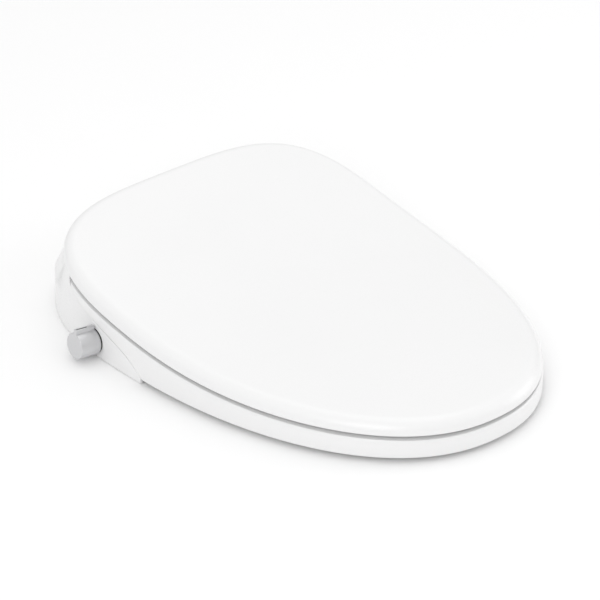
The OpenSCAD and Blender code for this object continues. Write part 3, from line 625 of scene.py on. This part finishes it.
cut(housing, along_knob(-0.8, 8, KNOB_R + KNOB_GAP), along_knob(-14, 6, SPINDLE_HOLE_R),
    button_hole(), rear_hole("inlet_connector", INLET_HOLE_R),
    rear_hole("power_cord_gland", GLAND_HOLE_R))

# ---------------------------------------------------------------- knob
FIN_W, FIN_RISE = 5.0, 4.5    # the pointer fin
KNOB_EDGE = 0.8               # rounding at the knob's end
GROOVE_LOW, GROOVE_HIGH = KNOB_GAP + 9, KNOB_LEN - 1.5
side_axis = Vector((0, 0, 1)).cross(KNOB_AXIS).normalized()
up_axis = KNOB_AXIS.cross(side_axis)
knob_turned = Matrix((up_axis, -side_axis, KNOB_AXIS)).transposed().to_4x4()
KNOB_FRAME = Matrix.Translation(KNOB) @ knob_turned


def fin_outline(radius, half_fin, rise):
    """Round the knob from one side of its pointer fin to the other, then over the fin."""
    start = math.asin(half_fin / radius)
    steps = 84
    turn = 2 * (math.pi - start)
    points = [Vector((radius * math.cos(start + turn * i / steps),
                      radius * math.sin(start + turn * i / steps))) for i in range(steps + 1)]
    tip, soft = radius + rise, 0.6
    points += [Vector((tip - soft, -half_fin)), Vector((tip - 0.3 * soft, -half_fin + 0.3 * soft)),
               Vector((tip, -half_fin + soft)), Vector((tip, half_fin - soft)),
               Vector((tip - 0.3 * soft, half_fin - 0.3 * soft)), Vector((tip - soft, half_fin))]
    return points


def knob_ring(z, inset):
    """The knob's outline at z along its axis, moved in by inset."""
    outline = fin_outline(KNOB_R - inset, FIN_W / 2 - inset, FIN_RISE)
    return [Vector((p.x, p.y, z)) for p in outline]


def in_knob_frame(bm):
    """Moves a bmesh from the knob's own axes, x along the pointer and z outward."""
    bmesh.ops.transform(bm, matrix=KNOB_FRAME, verts=bm.verts)
    return bm


def groove_bar(depth, width, length, out):
    """A bar along the middle of the pointer's groove, at out from the knob's axis."""
    bm = bmesh.new()
    bmesh.ops.create_cube(bm, size=1)
    bmesh.ops.scale(bm, vec=(depth, width, length), verts=bm.verts)
    middle = (out, 0, (GROOVE_HIGH + GROOVE_LOW) / 2)
    bmesh.ops.translate(bm, vec=middle, verts=bm.verts)
    return in_knob_frame(bm)


rings = [knob_ring(KNOB_GAP + 1, 0.4), knob_ring(KNOB_GAP + 1.4, 0)]
rings += [knob_ring(KNOB_LEN - KNOB_EDGE + KNOB_EDGE * math.sin(math.radians(a)),
                    KNOB_EDGE * (1 - math.cos(math.radians(a)))) for a in (0, 25, 50, 70, 90)]
knob = piece("knob_surface", in_knob_frame(skin(rings, "flat")), "knob", MATERIALS["knob"],
             "control_knob", slot="knob", angle=50)
piece("knob_collar", along_knob(KNOB_GAP, KNOB_GAP + 1.3, KNOB_R - 0.4), "knob",
      MATERIALS["knob"], slot="knob")
fin_top = KNOB_R + FIN_RISE
cut(knob, groove_bar(2, 1.5, GROOVE_HIGH - GROOVE_LOW, fin_top + 0.4))
piece("knob_pointer_inlay", groove_bar(0.5, 1.4, GROOVE_HIGH - GROOVE_LOW - 0.1, fin_top - 0.38),
      "knob", MATERIALS["seal"], slot="seal")


# ---------------------------------------------------------------- copies of the springs
def shortening(node):
    """A copy of a spring, attached to the base, in place of its CAD node."""
    mesh = frame["nodes"][node].data.copy()
    spring = placed(node + "_coil", mesh)
    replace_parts(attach(spring, "base"), node)
    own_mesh(spring)


shortening("rear_return_spring")
shortening("front_return_spring")
shortening("release_spring")

# ---------------------------------------------------------------- floor, light, camera
floor_mesh = bpy.data.meshes.new("floor")
reach = 6.0                   # metres from the middle to each side
floor_mesh.from_pydata([(-reach, -reach, 0), (reach, -reach, 0), (reach, reach, 0),
                        (-reach, reach, 0)], [], [(0, 1, 2, 3)])
floor = placed("floor", floor_mesh)
floor.location.z = start_low.z - 0.0005
floor_mesh.materials.append(moulded("floor_pale", (0.97, 0.97, 0.97), 0.8, grain=300, spread=0.004))


def area_light(name, place, aim, size, watts):
    """A round lamp at place, in metres, turned to aim."""
    data = bpy.data.lights.new(name, "AREA")
    data.shape, data.size, data.energy = "DISK", size, watts
    lamp = placed(name, data)
    lamp.location = place
    lamp.rotation_mode = "QUATERNION"
    lamp.rotation_quaternion = (Vector(aim) - Vector(place)).to_track_quat("-Z", "Y")
    return lamp


middle = (0, -0.2, 0.04)
lights = [area_light("overhead", (0.3, 0.2, 2.2), middle, 2.0, 5),
          area_light("front_fill", (-1.7, -1.4, 1.5), middle, 1.4, 11),
          area_light("right_fill", (2.0, -1.2, 0.6), middle, 1.4, 8)]
world = bpy.data.worlds.new("studio")
world.use_nodes = True
world.node_tree.nodes["Background"].inputs["Color"].default_value = (1, 1, 1, 1)
sky = world.node_tree.nodes
height = sky.new("ShaderNodeSeparateXYZ")
strength = sky.new("ShaderNodeMapRange")     # darker towards the horizon
with_inputs(strength, {"From Min": 0.0, "From Max": 0.6, "To Min": 0.47, "To Max": 0.91})
link = world.node_tree.links.new
link(sky.new("ShaderNodeTexCoord").outputs["Generated"], height.inputs["Vector"])
link(height.outputs["Z"], strength.inputs["Value"])
link(strength.outputs["Result"], sky["Background"].inputs["Strength"])
bpy.context.scene.world = world

camera_data = bpy.data.cameras.new("camera")
camera_data.lens, camera_data.sensor_width = 210, 36
camera = placed("camera", camera_data)
CAMERA_BACK = Vector((-0.5719, -0.6565, 0.4920))    # from the subject towards the camera
camera.location = (-2.0694, -2.5459, 1.8166)        # metres
camera.rotation_mode = "QUATERNION"
camera.rotation_quaternion = (-CAMERA_BACK).to_track_quat("-Z", "Y")
bpy.context.scene.camera = camera
bpy.context.scene.view_settings.view_transform = "Standard"
